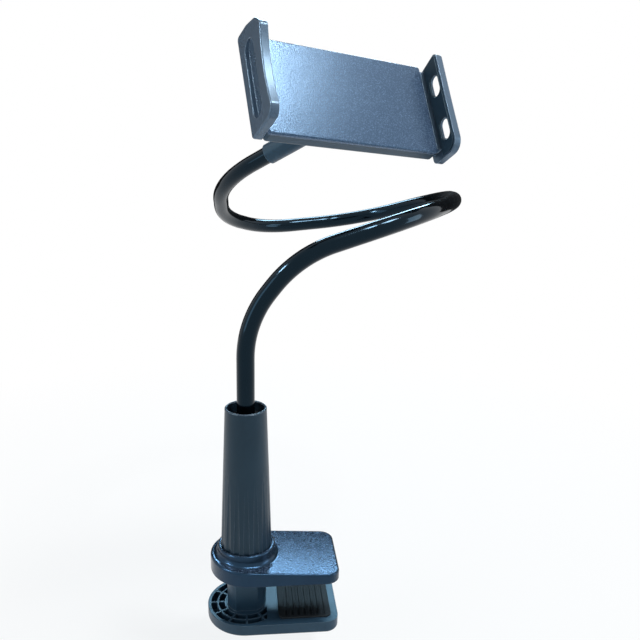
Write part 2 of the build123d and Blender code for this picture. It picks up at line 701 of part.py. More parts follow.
with BuildPart() as cover_screws:
    with BuildSketch(CRADLE.offset(-CRADLE_DEPTH)):
        with cover_screw_places():
            Circle(COVER_SCREW_HEAD)
    extrude(amount=COVER_SCREW_SINK - SEAT_GAP)
    with BuildSketch(CRADLE.offset(-CRADLE_DEPTH)):
        with cover_screw_places():
            Circle(COVER_SCREW)
    extrude(amount=CRADLE_DEPTH - COVER_SCREW_TIP)
save(cover_screws, "cover_screws")


def jaw_plane(across):
    """Plane of a cradle jaw, with X up the cradle and Y out of its face."""
    return Plane(
        CRADLE.from_local_coords((across, 0, 0)), x_dir=CRADLE.y_dir, z_dir=CRADLE.x_dir
    )


def jaw_profile(plane, corners, radii, lip):
    """Side outline of a cradle jaw, with a front edge that dips to the lip between its ends."""
    with BuildSketch(plane) as profile:
        with BuildLine():
            middle = (corners[0][0] + corners[1][0]) / 2
            ThreePointArc(corners[0], (middle, lip), corners[1])
            Polyline(*corners[1:], corners[0])
        make_face()
        for corner, radius in zip(corners, radii):
            fillet(profile.vertices().sort_by_distance(corner)[0], radius)
    return profile.sketch


def scoop_place(plane, depth, slope):
    """Plane of a scoop's floor, at a depth behind a jaw's outer face."""
    return Plane(
        plane.location * Location((SCOOP_HEIGHT, SCOOP_REACH, depth), (slope, 0, SCOOP_LEAN))
    )


# Fixed jaw: a wall on the shell's left end, with a long scoop whose floor slopes up to its front
with BuildPart() as fixed_jaw:
    fixed_plane = jaw_plane(-half_width - JAW_WALL)
    fixed_shape = jaw_profile(fixed_plane, FIXED_CORNERS, FIXED_CORNER_RADII, FIXED_LIP)
    extrude(fixed_shape, amount=JAW_WALL)
    across = Axis(CRADLE.origin, CRADLE.x_dir)
    fillet(fixed_jaw.faces().filter_by(GeomType.PLANE).sort_by(across)[0].edges(), JAW_ROUND)
    with BuildSketch(scoop_place(fixed_plane, SCOOP_DEPTH, -SCOOP_SLOPE)):
        SlotOverall(SCOOP_LENGTH, SCOOP_WIDTH)
    extrude(amount=-JAW_WALL, mode=Mode.SUBTRACT)
    with BuildSketch(jaw_plane(-half_width)):
        with Locations((0, -JAW_SCREW_DEPTH)):
            with GridLocations(jaw_screw_spacing, 0, 2, 1):
                Circle(JAW_SCREW + SEAT_GAP)
    extrude(amount=-JAW_SCREW_BITE - SEAT_GAP, mode=Mode.SUBTRACT)
save(fixed_jaw, "fixed_jaw")

with BuildPart() as fixed_jaw_lining:
    with BuildSketch(jaw_plane(-half_width)):
        with Locations((SCOOP_HEIGHT - LINING_EDGE, FIXED_LINING_REACH)):
            RectangleRounded(FIXED_LINING_LENGTH, FIXED_LINING_WIDTH, FIXED_LINING_CORNER)
    extrude(amount=LINING)
save(fixed_jaw_lining, "fixed_jaw_lining")

with BuildPart() as jaw_screws:
    with BuildSketch(jaw_plane(-end_wall)):
        with Locations((0, -JAW_SCREW_DEPTH)):
            with GridLocations(jaw_screw_spacing, 0, 2, 1):
                Circle(JAW_SCREW_HEAD)
    extrude(amount=JAW_SCREW_HEAD_HEIGHT)
    with BuildSketch(jaw_plane(-end_wall)):
        with Locations((0, -JAW_SCREW_DEPTH)):
            with GridLocations(jaw_screw_spacing, 0, 2, 1):
                Circle(JAW_SCREW)
    extrude(amount=-SIDE_WALL - JAW_SCREW_BITE)
save(jaw_screws, "jaw_screws")

# Sliding jaw: wall, foot and tongue in one moulding, with a scoop and two holes
with BuildPart() as sliding_jaw:
    sliding_plane = jaw_plane(half_width + JAW_GAP)
    sliding_shape = jaw_profile(sliding_plane, SLIDING_CORNERS, SLIDING_CORNER_RADII, SLIDING_LIP)
    extrude(sliding_shape, amount=JAW_WALL)
    fillet(sliding_jaw.faces().filter_by(GeomType.PLANE).sort_by(across)[-1].edges(), JAW_ROUND)
    with BuildSketch(CRADLE.offset(GUIDE_GAP - CRADLE_DEPTH)):
        with Locations((half_width + RUN_GAP, 0)):
            Rectangle(JAW_GAP + JAW_ROUND, foot_width, align=(Align.MIN, Align.CENTER))
    extrude(amount=CRADLE_DEPTH - GUIDE_GAP - FOOT_STEP)
    with BuildSketch(CRADLE.offset(slider_bottom)):
        with Locations((-slider_tail, 0)):
            Rectangle(
                slider_tail + half_width + JAW_GAP, slider_width, align=(Align.MIN, Align.CENTER)
            )
    extrude(amount=SLIDER_THICKNESS)
    with BuildSketch(CRADLE.offset(slider_top)):
        with Locations((-slider_tail, 0)):
            Rectangle(
                TAIL_BAR, spring_spacing + 2 * SPRING_RADIUS, align=(Align.MIN, Align.CENTER)
            )
    extrude(amount=-TAIL_DEPTH)
    with BuildSketch(CRADLE.offset(slider_bottom)):
        with Locations((-slider_tail, 0)):
            Rectangle(
                TAIL_BAR, guide_rib_spacing + 2 * GUIDE_RIB, align=(Align.MIN, Align.CENTER)
            )
    extrude(amount=-TAIL_DEPTH, mode=Mode.SUBTRACT)
    with BuildSketch(SPRING_PLANE.offset(-slider_tail)):
        with GridLocations(spring_spacing, 0, 2, 1):
            Circle(ROD_RADIUS + GUIDE_GAP)
    extrude(amount=TAIL_BAR, mode=Mode.SUBTRACT)
    with BuildSketch(scoop_place(sliding_plane, WEB, 0)):
        SlotOverall(SCOOP_LENGTH, SCOOP_WIDTH)
    extrude(amount=JAW_WALL, mode=Mode.SUBTRACT)
    with BuildSketch(sliding_plane):
        with Locations(*[(height, HOLE_REACH) for height in HOLE_HEIGHTS]):
            SlotOverall(HOLE_LENGTH, HOLE_WIDTH)
    extrude(amount=JAW_WALL, mode=Mode.SUBTRACT)
save(sliding_jaw, "sliding_jaw")

# Black lining with the same two holes
with BuildPart() as sliding_jaw_lining:
    with BuildSketch(sliding_plane):
        add(jaw_profile(Plane.XY, SLIDING_CORNERS, SLIDING_CORNER_RADII, SLIDING_LIP))
        offset(amount=-LINING_EDGE, mode=Mode.REPLACE)
        Rectangle(
            CRADLE_WIDTH, CRADLE_WIDTH, align=(Align.CENTER, Align.MIN), mode=Mode.INTERSECT
        )
        with Locations(*[(height, HOLE_REACH) for height in HOLE_HEIGHTS]):
            SlotOverall(HOLE_LENGTH, HOLE_WIDTH, mode=Mode.SUBTRACT)
    extrude(amount=-LINING)
save(sliding_jaw_lining, "sliding_jaw_lining")

# Return springs on their rods, from the tongue's tail to the shell's right end
for side, name in ((1, "upper"), (-1, "lower")):
    place = (side * spring_spacing / 2, 0)
    with BuildPart() as spring_rod:
        with BuildSketch(SPRING_PLANE.offset(SIDE_WALL / 2 + SEAT_GAP - half_width)):
            with Locations(place):
                Circle(ROD_RADIUS)
        extrude(amount=CRADLE_WIDTH - SIDE_WALL / 2 - 2 * SEAT_GAP)
    save(spring_rod, f"spring_rod_{name}")
    with BuildPart() as jaw_spring:
        with BuildSketch(SPRING_PLANE.offset(tail_end + RUN_GAP)):
            with Locations(place):
                Circle(SPRING_RADIUS)
                Circle(SPRING_BORE, mode=Mode.SUBTRACT)
        extrude(amount=end_wall - tail_end - 2 * RUN_GAP)
    save(jaw_spring, f"jaw_spring_{name}")
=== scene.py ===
"""Phone holder on a gooseneck, with a screw clamp for a table edge, dressed on its CAD frame."""
import json
from math import cos, pi, radians, sin, tan

import bpy
from mathutils import Matrix, Vector


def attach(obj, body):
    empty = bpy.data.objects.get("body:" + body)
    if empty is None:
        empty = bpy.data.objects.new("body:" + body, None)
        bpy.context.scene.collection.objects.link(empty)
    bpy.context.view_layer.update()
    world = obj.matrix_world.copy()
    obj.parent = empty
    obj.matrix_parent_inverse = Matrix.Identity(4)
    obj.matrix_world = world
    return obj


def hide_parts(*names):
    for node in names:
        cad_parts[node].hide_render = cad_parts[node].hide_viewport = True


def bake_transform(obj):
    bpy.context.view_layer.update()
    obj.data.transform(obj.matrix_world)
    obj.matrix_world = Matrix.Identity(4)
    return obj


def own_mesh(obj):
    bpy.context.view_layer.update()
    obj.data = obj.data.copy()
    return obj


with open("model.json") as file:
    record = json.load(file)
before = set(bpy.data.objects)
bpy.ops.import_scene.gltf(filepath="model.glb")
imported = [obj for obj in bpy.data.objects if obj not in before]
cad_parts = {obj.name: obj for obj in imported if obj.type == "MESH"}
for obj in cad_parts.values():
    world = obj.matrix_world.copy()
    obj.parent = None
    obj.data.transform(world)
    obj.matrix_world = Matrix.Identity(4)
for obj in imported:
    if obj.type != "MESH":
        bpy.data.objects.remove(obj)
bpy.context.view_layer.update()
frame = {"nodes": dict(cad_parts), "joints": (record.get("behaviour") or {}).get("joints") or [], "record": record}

# Camera: it stands in front of the clamp, about level with the cradle, and looks slightly down and
# to the right, as the photograph does.
MM = 0.001
camera_place = Vector((-40, -435, 293)) * MM
camera_yaw = radians(6.3)
camera_pitch = radians(14.7)
camera_roll = radians(1.3)
forward = Vector(
    (sin(camera_yaw) * cos(camera_pitch), cos(camera_yaw) * cos(camera_pitch), -sin(camera_pitch))
)
level_right = Vector((cos(camera_yaw), -sin(camera_yaw), 0))
level_up = level_right.cross(forward)
camera_right = level_right * cos(camera_roll) + level_up * sin(camera_roll)
camera_up = level_up * cos(camera_roll) - level_right * sin(camera_roll)
bpy.ops.object.select_all(action="DESELECT")
bpy.ops.object.camera_add()
camera = bpy.context.object
camera.name = "photo_camera"
camera_turn = Matrix((camera_right, camera_up, -forward)).transposed().to_4x4()
camera.matrix_world = Matrix.Translation(camera_place) @ camera_turn
camera.data.sensor_width = 36
camera.data.lens = 39.375
camera.data.clip_start = 0.01
bpy.context.scene.camera = camera

# Studio floor: a white sheet that takes the object's shadow near the clamp and runs out to pure
# white further away. Mirrors see it white as well.
FLOOR_HEIGHT = -72.5 * MM
FLOOR_SIZE = 6
SHADOW_REACH = 0.1
WHITE_REACH = 0.7
bpy.ops.object.select_all(action="DESELECT")
bpy.ops.mesh.primitive_plane_add(size=FLOOR_SIZE, location=(0, 0, FLOOR_HEIGHT))
floor = bpy.context.object
floor.name = "studio_floor"
floor_paint = bpy.data.materials.new("floor_paint")
floor_paint.use_nodes = True
tree = floor_paint.node_tree
tree.nodes.clear()
light_path = tree.nodes.new("ShaderNodeLightPath")
mirrored = tree.nodes.new("ShaderNodeMath")
mirrored.operation = "MAXIMUM"
seen_share = tree.nodes.new("ShaderNodeMath")
seen_share.operation = "MULTIPLY_ADD"
seen_share.use_clamp = True
matt = tree.nodes.new("ShaderNodeBsdfDiffuse")
matt.inputs["Color"].default_value = (0.82, 0.82, 0.82, 1)
glow = tree.nodes.new("ShaderNodeEmission")
place = tree.nodes.new("ShaderNodeTexCoord")
reach = tree.nodes.new("ShaderNodeVectorMath")
reach.operation = "LENGTH"
fade = tree.nodes.new("ShaderNodeMapRange")
fade.inputs["From Min"].default_value = SHADOW_REACH
fade.inputs["From Max"].default_value = WHITE_REACH
fade.inputs["To Min"].default_value = 0.8
blend_seen = tree.nodes.new("ShaderNodeMixShader")
surface = tree.nodes.new("ShaderNodeOutputMaterial")
for start, end in (
    (place.outputs["Object"], reach.inputs[0]),
    (reach.outputs["Value"], fade.inputs["Value"]),
    (fade.outputs["Result"], seen_share.inputs[1]),
    (light_path.outputs["Is Glossy Ray"], mirrored.inputs[0]),
    (light_path.outputs["Is Transmission Ray"], mirrored.inputs[1]),
    (light_path.outputs["Is Camera Ray"], seen_share.inputs[0]),
    (mirrored.outputs[0], seen_share.inputs[2]),
    (seen_share.outputs[0], blend_seen.inputs["Fac"]),
    (matt.outputs[0], blend_seen.inputs[1]),
    (glow.outputs[0], blend_seen.inputs[2]),
    (blend_seen.outputs[0], surface.inputs["Surface"]),
):
    tree.links.new(start, end)
floor.data.materials.append(floor_paint)

# Studio walls and lamps: a weak cool light from all round, a small overhead softbox whose edge the
# front plate mirrors, a bank behind the clamp for its top, a fill on each side, and a tube, a window
# and a dark card that only polished surfaces mirror.
studio_world = bpy.data.worlds.new("studio_world")
bpy.context.scene.world = studio_world
bpy.context.scene.view_settings.view_transform = "Standard"
studio_world.use_nodes = True
tree = studio_world.node_tree
tree.nodes.clear()
light_path = tree.nodes.new("ShaderNodeLightPath")
soft_light = tree.nodes.new("ShaderNodeBackground")
soft_light.inputs["Color"].default_value = (0.93, 0.97, 1.0, 1)
soft_light.inputs["Strength"].default_value = 0.27
white_wall = tree.nodes.new("ShaderNodeBackground")
white_wall.inputs["Color"].default_value = (1, 1, 1, 1)
white_wall.inputs["Strength"].default_value = 1.0
mirrored = tree.nodes.new("ShaderNodeMath")
mirrored.operation = "MAXIMUM"
seen = tree.nodes.new("ShaderNodeMath")
seen.operation = "MAXIMUM"
blend_seen = tree.nodes.new("ShaderNodeMixShader")
surface = tree.nodes.new("ShaderNodeOutputWorld")
for start, end in (
    (light_path.outputs["Is Glossy Ray"], mirrored.inputs[0]),
    (light_path.outputs["Is Transmission Ray"], mirrored.inputs[1]),
    (light_path.outputs["Is Camera Ray"], seen.inputs[0]),
    (mirrored.outputs[0], seen.inputs[1]),
    (seen.outputs[0], blend_seen.inputs["Fac"]),
    (soft_light.outputs[0], blend_seen.inputs[1]),
    (white_wall.outputs[0], blend_seen.inputs[2]),
    (blend_seen.outputs[0], surface.inputs["Surface"]),
):
    tree.links.new(start, end)


def softbox(name, place, target, width, height, power, colour=(1, 1, 1)):
    """A rectangular studio lamp that faces a point."""
    bpy.ops.object.light_add(type="AREA", location=place)
    lamp = bpy.context.object
    lamp.name = name
    lamp.data.shape = "RECTANGLE"
    lamp.data.size = width
    lamp.data.size_y = height
    lamp.data.energy = power
    lamp.data.color = colour
    lamp.rotation_euler = (Vector(target) - Vector(place)).to_track_quat("-Z", "Y").to_euler()
    return lamp


softbox("overhead_softbox", (0.46, -0.186, 1.233), (0.0, 0.02, 0.30), 0.22, 0.22, 7.8)
softbox("back_bank", (0.12, 0.935, 0.77), (0.03, 0.0, 0.012), 0.6, 0.17, 8, (0.5, 0.8, 1))
softbox("left_fill", (-1.25, -0.55, 0.55), (0.0, 0.0, 0.15), 0.5, 0.9, 4, (0.78, 0.92, 1))
softbox("right_fill", (1.3, -0.25, 0.45), (0.0, 0.0, 0.10), 0.4, 0.9, 5, (0.85, 0.95, 1))
ceiling_tube = softbox("ceiling_tube", (0.184, -0.297, 1.18), (0.04, 0.0, 0.24), 0.14, 0.2, 5)
ceiling_tube.visible_diffuse = False
left_window = softbox("left_window", (-0.74, -0.18, 0.89), (-0.02, 0.0, 0.21), 0.13, 0.13, 6)
left_window.visible_diffuse = False

CARD_WIDTH = 3.2
CARD_HEIGHT = 2.4
CARD_LEAN = radians(80)
bpy.ops.mesh.primitive_plane_add(size=1, location=(0.25, 1.25, 0.85))
black_card = bpy.context.object
black_card.name = "black_card"
black_card.scale = (CARD_WIDTH, CARD_HEIGHT, 1)
black_card.rotation_euler = (CARD_LEAN, 0, 0)
black_card.visible_camera = False
black_card.visible_diffuse = False
black_card.visible_shadow = False
card_black = bpy.data.materials.new("card_black")
card_black.use_nodes = True
card_face = card_black.node_tree.nodes["Principled BSDF"]
card_face.inputs["Base Color"].default_value = (0.02, 0.02, 0.02, 1)
card_face.inputs["Roughness"].default_value = 0.9
black_card.data.materials.append(card_black)

# Clamp jaws: two D-shaped mouldings of slate nylon, ribbed inside. The upper one carries the
# column's collar and has a coarse grain on its top, where pale specks are painted in as glints; the lower one
# rides on a stem in the column.
WORN_AND_LIT_EDGE_WIDTH = 0.6 * MM
GRAIN_RELIEF = 0.2 * MM
POLISH_DRIFT = 0.02
grain = bpy.data.node_groups.new("moulded_grain", "ShaderNodeTree")
for socket_name in ("Grain size", "Painted glints"):
    grain.interface.new_socket(socket_name, in_out="INPUT", socket_type="NodeSocketFloat")
for socket_name in ("Tone", "Shade"):
    grain.interface.new_socket(socket_name, in_out="INPUT", socket_type="NodeSocketColor")
grain.interface.new_socket("Colour", in_out="OUTPUT", socket_type="NodeSocketColor")
grain.interface.new_socket("Height", in_out="OUTPUT", socket_type="NodeSocketFloat")
grain.interface.new_socket("Patch", in_out="OUTPUT", socket_type="NodeSocketFloat")
group_in = grain.nodes.new("NodeGroupInput")
group_out = grain.nodes.new("NodeGroupOutput")
coords = grain.nodes.new("ShaderNodeTexCoord")
fine = grain.nodes.new("ShaderNodeTexNoise")
fine.inputs["Detail"].default_value = 3
fine.inputs["Roughness"].default_value = 0.6
pits = grain.nodes.new("ShaderNodeTexVoronoi")
pits.feature = "SMOOTH_F1"
drift = grain.nodes.new("ShaderNodeTexNoise")
drift.inputs["Scale"].default_value = 28
drift.inputs["Detail"].default_value = 4
height_sum = grain.nodes.new("ShaderNodeMath")
height_sum.operation = "MULTIPLY_ADD"
height_sum.inputs[1].default_value = 0.6
patch_span = grain.nodes.new("ShaderNodeMapRange")
patch_span.interpolation_type = "SMOOTHSTEP"
patch_span.inputs["From Min"].default_value = 0.3
patch_span.inputs["From Max"].default_value = 0.7
tone_mix = grain.nodes.new("ShaderNodeMix")
tone_mix.data_type = "RGBA"
# Pale blue specks mixed into the colour where the fine noise peaks are painted glints of light on the grain.
glint_span = grain.nodes.new("ShaderNodeMapRange")
glint_span.inputs["From Min"].default_value = 0.48
glint_span.inputs["From Max"].default_value = 0.72
glint_share = grain.nodes.new("ShaderNodeMath")
glint_share.operation = "MULTIPLY"
glint_mix = grain.nodes.new("ShaderNodeMix")
glint_mix.data_type = "RGBA"
glint_mix.inputs["B"].default_value = (0.30, 0.45, 0.68, 1)
for start, end in (
    (coords.outputs["Object"], fine.inputs["Vector"]),
    (coords.outputs["Object"], pits.inputs["Vector"]),
    (coords.outputs["Object"], drift.inputs["Vector"]),
    (group_in.outputs["Grain size"], fine.inputs["Scale"]),
    (group_in.outputs["Grain size"], pits.inputs["Scale"]),
    (pits.outputs["Distance"], height_sum.inputs[0]),
    (fine.outputs["Fac"], height_sum.inputs[2]),
    (height_sum.outputs[0], group_out.inputs["Height"]),
    (drift.outputs["Fac"], patch_span.inputs["Value"]),
    (patch_span.outputs["Result"], group_out.inputs["Patch"]),
    (patch_span.outputs["Result"], tone_mix.inputs["Factor"]),
    (group_in.outputs["Tone"], tone_mix.inputs["A"]),
    (group_in.outputs["Shade"], tone_mix.inputs["B"]),
    (fine.outputs["Fac"], glint_span.inputs["Value"]),
    (glint_span.outputs["Result"], glint_share.inputs[0]),
    (group_in.outputs["Painted glints"], glint_share.inputs[1]),
    (glint_share.outputs[0], glint_mix.inputs["Factor"]),
    (tone_mix.outputs["Result"], glint_mix.inputs["A"]),
    (glint_mix.outputs["Result"], group_out.inputs["Colour"]),
):
    grain.links.new(start, end)

# Edge mask: edges are painted paler, partly as rubbed wear and partly as painted highlights where the edges catch
# the light.
worn_and_lit_edges = bpy.data.node_groups.new("worn_and_lit_edges", "ShaderNodeTree")
worn_and_lit_edges.interface.new_socket("Reach", in_out="INPUT", socket_type="NodeSocketFloat")
worn_and_lit_edges.interface.new_socket("Edge", in_out="OUTPUT", socket_type="NodeSocketFloat")
worn_and_lit_edges.interface.new_socket("Rounded", in_out="OUTPUT", socket_type="NodeSocketVector")
group_in = worn_and_lit_edges.nodes.new("NodeGroupInput")
group_out = worn_and_lit_edges.nodes.new("NodeGroupOutput")
eased = worn_and_lit_edges.nodes.new("ShaderNodeBevel")
eased.samples = 6
true_face = worn_and_lit_edges.nodes.new("ShaderNodeNewGeometry")
turned = worn_and_lit_edges.nodes.new("ShaderNodeVectorMath")
turned.operation = "DOT_PRODUCT"
edge_span = worn_and_lit_edges.nodes.new("ShaderNodeMapRange")
edge_span.inputs["From Min"].default_value = 0.995
edge_span.inputs["From Max"].default_value = 0.80
coords = worn_and_lit_edges.nodes.new("ShaderNodeTexCoord")
edge_breakup = worn_and_lit_edges.nodes.new("ShaderNodeTexNoise")
edge_breakup.inputs["Scale"].default_value = 160
edge_breakup.inputs["Detail"].default_value = 4
edge_breakup_span = worn_and_lit_edges.nodes.new("ShaderNodeMapRange")
edge_breakup_span.inputs["From Min"].default_value = 0.35
edge_breakup_span.inputs["From Max"].default_value = 0.6
edge_breakup_span.inputs["To Min"].default_value = 0.45
broken = worn_and_lit_edges.nodes.new("ShaderNodeMath")
broken.operation = "MULTIPLY"
for start, end in (
    (group_in.outputs["Reach"], eased.inputs["Radius"]),
    (eased.outputs["Normal"], turned.inputs[0]),
    (true_face.outputs["Normal"], turned.inputs[1]),
    (turned.outputs["Value"], edge_span.inputs["Value"]),
    (coords.outputs["Object"], edge_breakup.inputs["Vector"]),
    (edge_breakup.outputs["Fac"], edge_breakup_span.inputs["Value"]),
    (edge_span.outputs["Result"], broken.inputs[0]),
    (edge_breakup_span.outputs["Result"], broken.inputs[1]),
    (broken.outputs[0], group_out.inputs["Edge"]),
    (eased.outputs["Normal"], group_out.inputs["Rounded"]),
):
    worn_and_lit_edges.links.new(start, end)


def moulding(name, tone, shade, rubbed_and_lit, roughness, gloss, sheen, grain_size, grain_depth, painted_glints=0.0):
    """A moulded skin with the shared grain and its painted glints, and edges painted paler, partly as rubbed wear
    and partly as painted highlights.
    """
    material = bpy.data.materials.new(name)
    material.use_nodes = True
    new_node = material.node_tree.nodes.new
    skin = material.node_tree.nodes["Principled BSDF"]
    skin.inputs["Specular Tint"].default_value = (*sheen, 1)
    skin.inputs["Specular IOR Level"].default_value = gloss
    texture = new_node("ShaderNodeGroup")
    texture.name = "grain"
    texture.node_tree = grain
    texture.inputs["Grain size"].default_value = grain_size
    texture.inputs["Painted glints"].default_value = painted_glints
    texture.inputs["Tone"].default_value = (*tone, 1)
    texture.inputs["Shade"].default_value = (*shade, 1)
    edges = new_node("ShaderNodeGroup")
    edges.node_tree = worn_and_lit_edges
    edges.inputs["Reach"].default_value = WORN_AND_LIT_EDGE_WIDTH
    # The edge colour is painted on: wear, and a painted highlight along the edges.
    paint = new_node("ShaderNodeMix")
    paint.name = "edge_wear_and_highlight_paint"
    paint.data_type = "RGBA"
    paint.inputs["B"].default_value = (*rubbed_and_lit, 1)
    bump = new_node("ShaderNodeBump")
    bump.name = "grain_relief"
    bump.inputs["Strength"].default_value = grain_depth
    bump.inputs["Distance"].default_value = GRAIN_RELIEF
    polish = new_node("ShaderNodeMapRange")
    polish.name = "polish"
    polish.inputs["To Min"].default_value = roughness - POLISH_DRIFT
    polish.inputs["To Max"].default_value = roughness + POLISH_DRIFT
    for start, end in (
        (texture.outputs["Colour"], paint.inputs["A"]),
        (edges.outputs["Edge"], paint.inputs["Factor"]),
        (paint.outputs["Result"], skin.inputs["Base Color"]),
        (texture.outputs["Height"], bump.inputs["Height"]),
        (edges.outputs["Rounded"], bump.inputs["Normal"]),
        (bump.outputs["Normal"], skin.inputs["Normal"]),
        (texture.outputs["Patch"], polish.inputs["Value"]),
        (polish.outputs["Result"], skin.inputs["Roughness"]),
    ):
        material.node_tree.links.new(start, end)
    return material


def dress(material, *names):
    """Give CAD nodes their finish."""
    for name in names:
        node = frame["nodes"][name]
        node.data.materials.clear()
        node.data.materials.append(material)


slate_moulding = moulding(
    "slate_moulding",
    tone=(0.021, 0.052, 0.088),
    shade=(0.016, 0.041, 0.071),
    rubbed_and_lit=(0.085, 0.115, 0.150),
    roughness=0.36,
    gloss=0.4,
    sheen=(0.6, 0.85, 1.0),
    grain_size=900,
    grain_depth=0.25,
)
TONGUE_SIDE_ROUGHNESS = 0.2
TONGUE_TOP_ROUGHNESS = 0.1
tongue_skin = moulding(
    "tongue_skin",
    tone=(0.012, 0.024, 0.037),
    shade=(0.009, 0.018, 0.029),
    rubbed_and_lit=(0.060, 0.085, 0.115),
    roughness=TONGUE_SIDE_ROUGHNESS,
    gloss=0.6,
    sheen=(0.22, 0.52, 1.0),
    grain_size=900,
    grain_depth=0.24,
)
new_node = tongue_skin.node_tree.nodes.new
fine_skin = tongue_skin.node_tree.nodes["grain"]
tongue_paint = tongue_skin.node_tree.nodes["edge_wear_and_highlight_paint"]
tongue_relief = tongue_skin.node_tree.nodes["grain_relief"]
# The top's coarse grain has pale specks painted in as glints, and its tone is a little bluer than the sides'.
coarse_skin = new_node("ShaderNodeGroup")
coarse_skin.node_tree = grain
coarse_skin.inputs["Grain size"].default_value = 850
coarse_skin.inputs["Painted glints"].default_value = 0.4
coarse_skin.inputs["Tone"].default_value = (0.013, 0.025, 0.046, 1)
coarse_skin.inputs["Shade"].default_value = (0.010, 0.020, 0.038, 1)
facing = new_node("ShaderNodeTexCoord")
upward = new_node("ShaderNodeSeparateXYZ")
flat_top = new_node("ShaderNodeMapRange")
flat_top.inputs["From Min"].default_value = 0.95
flat_top.inputs["From Max"].default_value = 0.985
top_colour = new_node("ShaderNodeMix")
top_colour.data_type = "RGBA"
top_height = new_node("ShaderNodeMix")
top_polish = tongue_skin.node_tree.nodes["polish"]
top_polish.inputs["To Min"].default_value = TONGUE_SIDE_ROUGHNESS
top_polish.inputs["To Max"].default_value = TONGUE_TOP_ROUGHNESS
for start, end in (
    (facing.outputs["Normal"], upward.inputs["Vector"]),
    (upward.outputs["Z"], flat_top.inputs["Value"]),
    (flat_top.outputs["Result"], top_colour.inputs["Factor"]),
    (fine_skin.outputs["Colour"], top_colour.inputs["A"]),
    (coarse_skin.outputs["Colour"], top_colour.inputs["B"]),
    (top_colour.outputs["Result"], tongue_paint.inputs["A"]),
    (flat_top.outputs["Result"], top_height.inputs["Factor"]),
    (fine_skin.outputs["Height"], top_height.inputs["A"]),
    (coarse_skin.outputs["Height"], top_height.inputs["B"]),
    (top_height.outputs["Result"], tongue_relief.inputs["Height"]),
    (flat_top.outputs["Result"], top_polish.inputs["Value"]),
):
    tongue_skin.node_tree.links.new(start, end)
dress(slate_moulding, "lower_jaw")
dress(tongue_skin, "upper_jaw")

# Clamp pads: black rubber blocks with cross ribs, glued into a recess of each jaw so that the
# table's edge doesn't slip out.
PAD_LENGTH = 36 * MM
PAD_WIDTH = 44 * MM
PAD_THICKNESS = 2.5 * MM
PAD_CORNER = 4 * MM
PAD_GRIP = 27.5 * MM
RIB_EASING = 0.12 * MM
FLAT = 0.9  # least share of its normal along Z for a face that lies flat
pad_rubber = moulding(
    "pad_rubber",
    tone=(0.010, 0.014, 0.018),
    shade=(0.007, 0.010, 0.013),
    rubbed_and_lit=(0.030, 0.037, 0.044),
    roughness=0.55,
    gloss=0.2,
    sheen=(1.0, 1.0, 1.0),
    grain_size=700,
    grain_depth=0.3,
)


def choose_faces(piece, test):
    """Select the faces of a piece that pass a test, and nothing else."""
    bpy.ops.object.mode_set(mode="EDIT")
    bpy.ops.mesh.select_mode(type="FACE")
    bpy.ops.mesh.select_all(action="DESELECT")
    bpy.ops.object.mode_set(mode="OBJECT")
    for face in piece.data.polygons:
        face.select = test(face)
    bpy.ops.object.mode_set(mode="EDIT")


def choose_edges(piece, test):
    """Select the edges of a piece whose two ends pass a test, and nothing else."""
    bpy.ops.object.mode_set(mode="EDIT")
    bpy.ops.mesh.select_mode(type="EDGE")
    bpy.ops.mesh.select_all(action="DESELECT")
    bpy.ops.object.mode_set(mode="OBJECT")
    corners = piece.data.vertices
    for edge in piece.data.edges:
        edge.select = test(*[corners[number].co for number in edge.vertices])
    bpy.ops.object.mode_set(mode="EDIT")


def set_in_place(piece, place):
    """Move a finished shape from the bench to its place, and keep the place in its mesh."""
    bpy.ops.object.mode_set(mode="OBJECT")
    bpy.ops.object.select_all(action="DESELECT")
    piece.select_set(True)
    bpy.context.view_layer.objects.active = piece
    piece.matrix_world = place
    bpy.ops.object.transform_apply(location=True, rotation=True, scale=True)


def ribbed_pad(name, place, length, width, thickness, corner, border, ribs, groove):
    """A rounded pad with cross ribs on its face, which lies at the place's origin."""
    bpy.ops.object.select_all(action="DESELECT")
    bpy.ops.mesh.primitive_cube_add(
        size=1, location=(0, 0, -thickness / 2), scale=(length, width, thickness)
    )
    pad = bpy.context.object
    pad.name = name
    bpy.ops.object.transform_apply(location=True, rotation=True, scale=True)
    choose_edges(pad, lambda a, b: abs(a.z - b.z) > thickness / 2)
    bpy.ops.mesh.bevel(offset=corner, segments=6)
    choose_faces(pad, lambda face: face.normal.z > FLAT)
    bpy.ops.mesh.inset(thickness=border)
    bpy.ops.object.mode_set(mode="OBJECT")
    for face in pad.data.polygons:
        face.material_index = int(face.select)
    ribbed = length / 2 - border
    stripe = 2 * ribbed / (2 * ribs - 1)
    for count in range(1, 2 * ribs - 1):
        choose_faces(pad, lambda face: face.material_index == 1)
        bpy.ops.mesh.bisect(plane_co=(count * stripe - ribbed, 0, 0), plane_no=(1, 0, 0))
    choose_faces(
        pad,
        lambda face: face.material_index == 1 and int((face.center.x + ribbed) / stripe) % 2 == 1,
    )
    bpy.ops.mesh.extrude_region_move(TRANSFORM_OT_translate={"value": (0, 0, -groove)})
    bpy.ops.mesh.select_all(action="SELECT")
    bpy.ops.mesh.normals_make_consistent(inside=False)
    bpy.ops.object.mode_set(mode="OBJECT")
    for face in pad.data.polygons:
        face.material_index = 0
    easing = pad.modifiers.new("eased_edges", "BEVEL")
    easing.width = RIB_EASING
    easing.segments = 2
    bpy.ops.object.modifier_apply(modifier=easing.name)
    pad.data.materials.append(pad_rubber)
    set_in_place(pad, place)
    return pad


